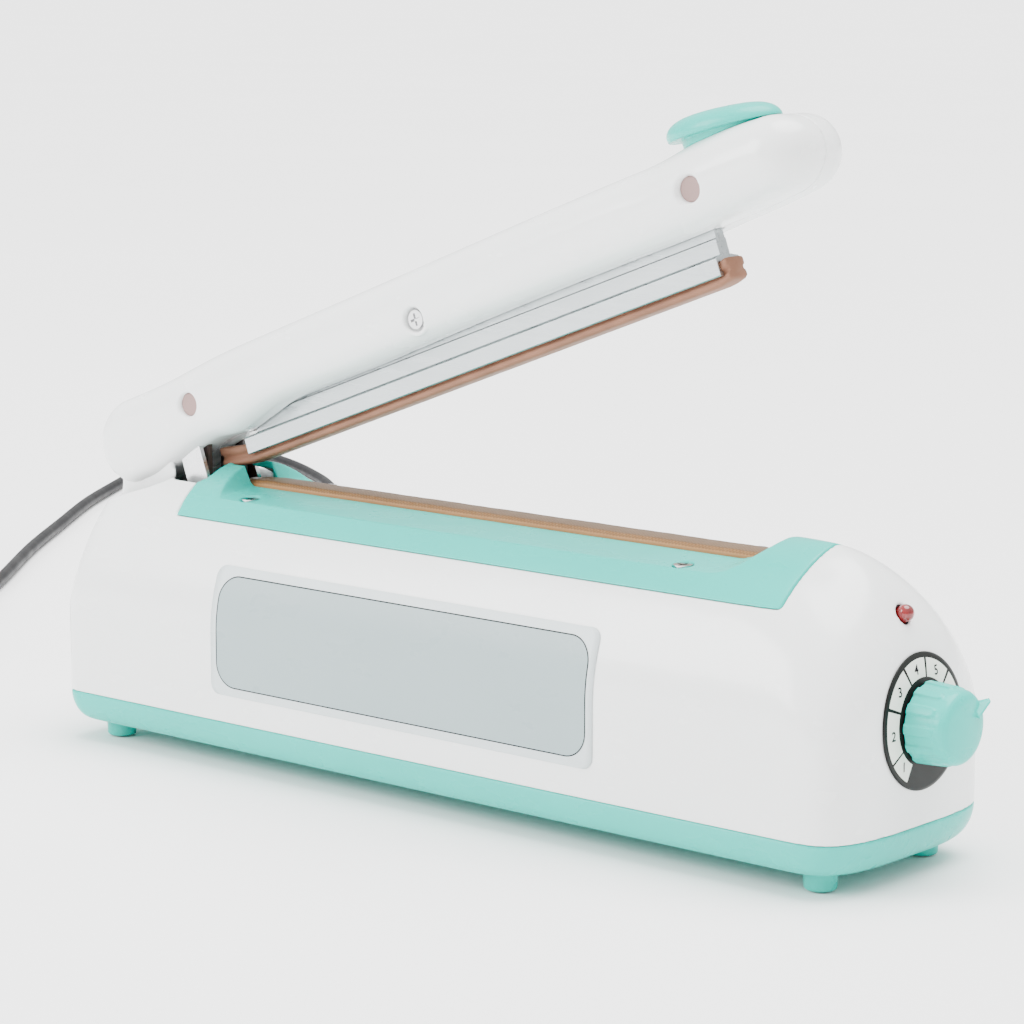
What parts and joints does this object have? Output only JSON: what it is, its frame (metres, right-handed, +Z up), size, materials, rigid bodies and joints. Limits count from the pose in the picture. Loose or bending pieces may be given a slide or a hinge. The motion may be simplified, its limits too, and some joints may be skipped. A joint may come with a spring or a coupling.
{
  "type": "impulse heat sealer",
  "caption": "Hand impulse heat sealer: hinged arm with a silicone jaw, arched base with a woven heating strip, timer knob, lamp and mains lead.",
  "frame": {"origin": "on the table, under the middle of the machine with its arm open, without the mains lead", "axes": "+X towards the timer knob, +Y to the rear, +Z up"},
  "size_m": [0.7442, 0.4731, 0.216],
  "materials": {
    "white_abs": "glossy moulded ABS",
    "mint_abs": "satin moulded ABS, mint",
    "zinc_steel": "zinc plated",
    "aluminium": "extruded, mill finish",
    "polyimide_tape": "thin insulating tape",
    "heating_alloy": "flat nickel-chromium band",
    "woven_ptfe": "woven glass cloth coated with PTFE, brown",
    "silicone": "matt silicone rubber, terracotta",
    "label_film": "printed plastic label, plain grey",
    "dial_black": "printed dial, black and white",
    "pot_case": "pressed case",
    "red_lens": "clear red lens",
    "black_plastic": "moulded",
    "core_steel": "varnished laminations",
    "copper_winding": "wound coil under tape",
    "board_green": "circuit board",
    "nylon": "moulded",
    "blue_plastic": "moulded",
    "black_steel": "dark painted pressing",
    "plunger_red": "moulded",
    "pvc_black": "satin PVC",
    "plug_brass": "nickel plated"
  },
  "bodies": {
    "base": {"bottom_pan": "mint_abs", "feet": "mint_abs", "pan_screws": "zinc_steel", "upper_shell": "white_abs", "top_cover": "mint_abs", "cover_screws": "zinc_steel", "chassis_bridge": "zinc_steel", "heater_rail": "aluminium", "insulating_tape": "polyimide_tape", "heating_band": "heating_alloy", "band_clamps": "zinc_steel", "seal_strip": "woven_ptfe", "label_plate": "label_film", "dial_plate": "dial_black", "timer_pot": "pot_case", "pot_nut": "zinc_steel", "pilot_lamp": "red_lens", "lamp_holder": "black_plastic", "transformer_core": "core_steel", "transformer_coil": "copper_winding", "transformer_strap": "zinc_steel", "circuit_board": "board_green", "board_pillars": "nylon", "relay": "blue_plastic", "capacitors": "black_plastic", "hinge_bracket": "black_steel", "hinge_axle": "zinc_steel", "axle_washers": "zinc_steel", "microswitch": "black_plastic", "strain_relief": "pvc_black", "cord_run": "pvc_black", "cord_coil": "pvc_black", "cord_tail": "pvc_black", "plug_body": "pvc_black", "plug_pins": "plug_brass"},
    "arm": {"arm_front_shell": "white_abs", "arm_rear_shell": "white_abs", "thumb_pad": "mint_abs", "arm_channel": "zinc_steel", "jaw_bar": "aluminium", "silicone_strip": "silicone", "arm_screws": "zinc_steel", "return_spring": "zinc_steel"},
    "knob": {"timer_knob": "mint_abs", "timer_shaft": "zinc_steel"},
    "plunger": {"switch_plunger": "plunger_red"}
  },
  "joints": [
    {"name": "arm_hinge", "type": "hinge", "parent": "base", "child": "arm", "pos_m": [-0.1242, 0, 0.112], "axis": [0, 1, 0], "range_deg": [0, 20.2], "stiffness_Nm_per_rad": 1.2, "springref_deg": -34.38},
    {"name": "knob_turn", "type": "hinge", "parent": "base", "child": "knob", "pos_m": [0.1533, 0, 0.046], "axis": [1, 0, 0], "range_deg": [-98, 192]},
    {"name": "plunger_travel", "type": "slide", "parent": "base", "child": "plunger", "axis": [-1, 0, 0], "range_m": [0, 0.0012], "stiffness_N_per_m": 150, "springref_m": -0.0005}
  ]
}
